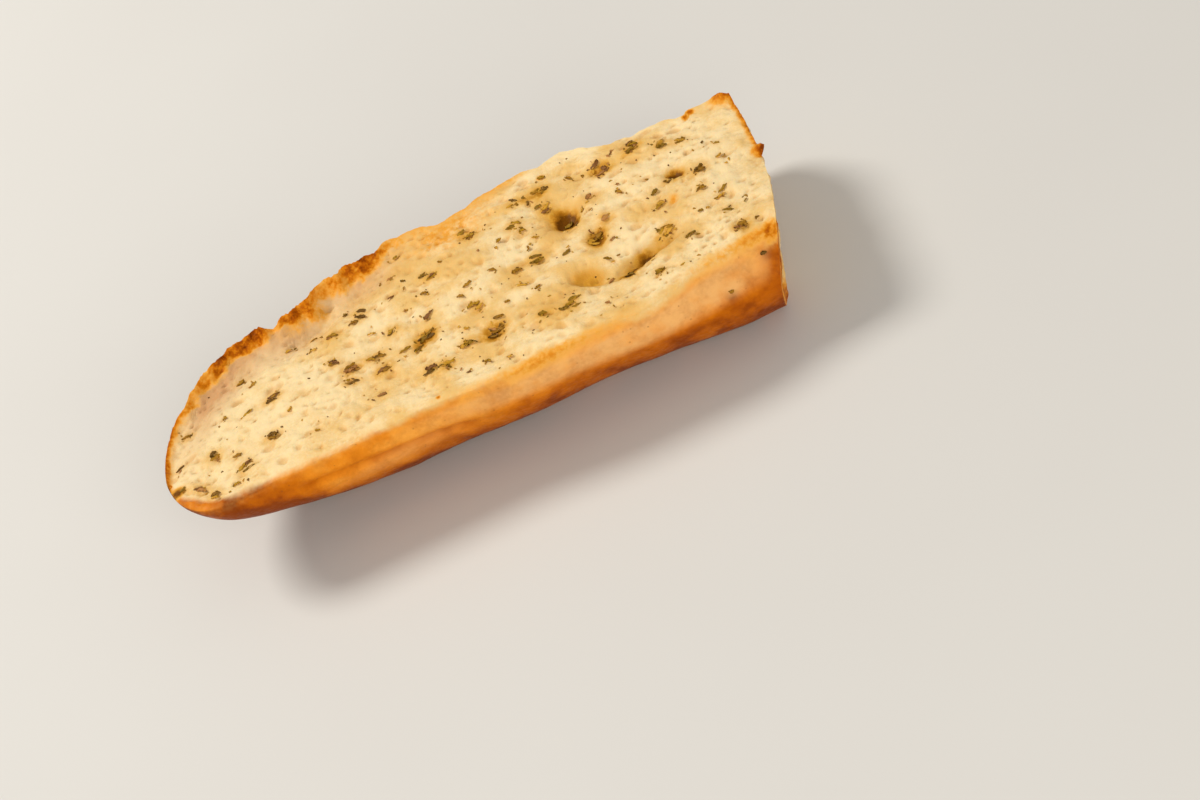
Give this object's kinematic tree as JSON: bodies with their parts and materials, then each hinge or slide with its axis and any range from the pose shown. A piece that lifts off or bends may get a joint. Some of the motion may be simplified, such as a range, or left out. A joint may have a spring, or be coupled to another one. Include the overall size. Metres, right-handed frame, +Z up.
{
  "type": "garlic bread",
  "caption": "Half of a split bread roll, cut across at one end, with a buttered, herb-flecked cut face up and a rounded browned crust below.",
  "frame": {"origin": "on the surface the bread lies on, under the middle of its box", "axes": "+X along the bread from the rounded nose to the cut end, -Y towards the side whose crust is widest, +Z up out of the cut face"},
  "size_m": [0.1914, 0.0838, 0.0367],
  "materials": {
    "bread": "baked crumb and crust, slightly buttery"
  },
  "bodies": {
    "root": {"garlic_bread": "bread"}
  },
  "joints": []
}
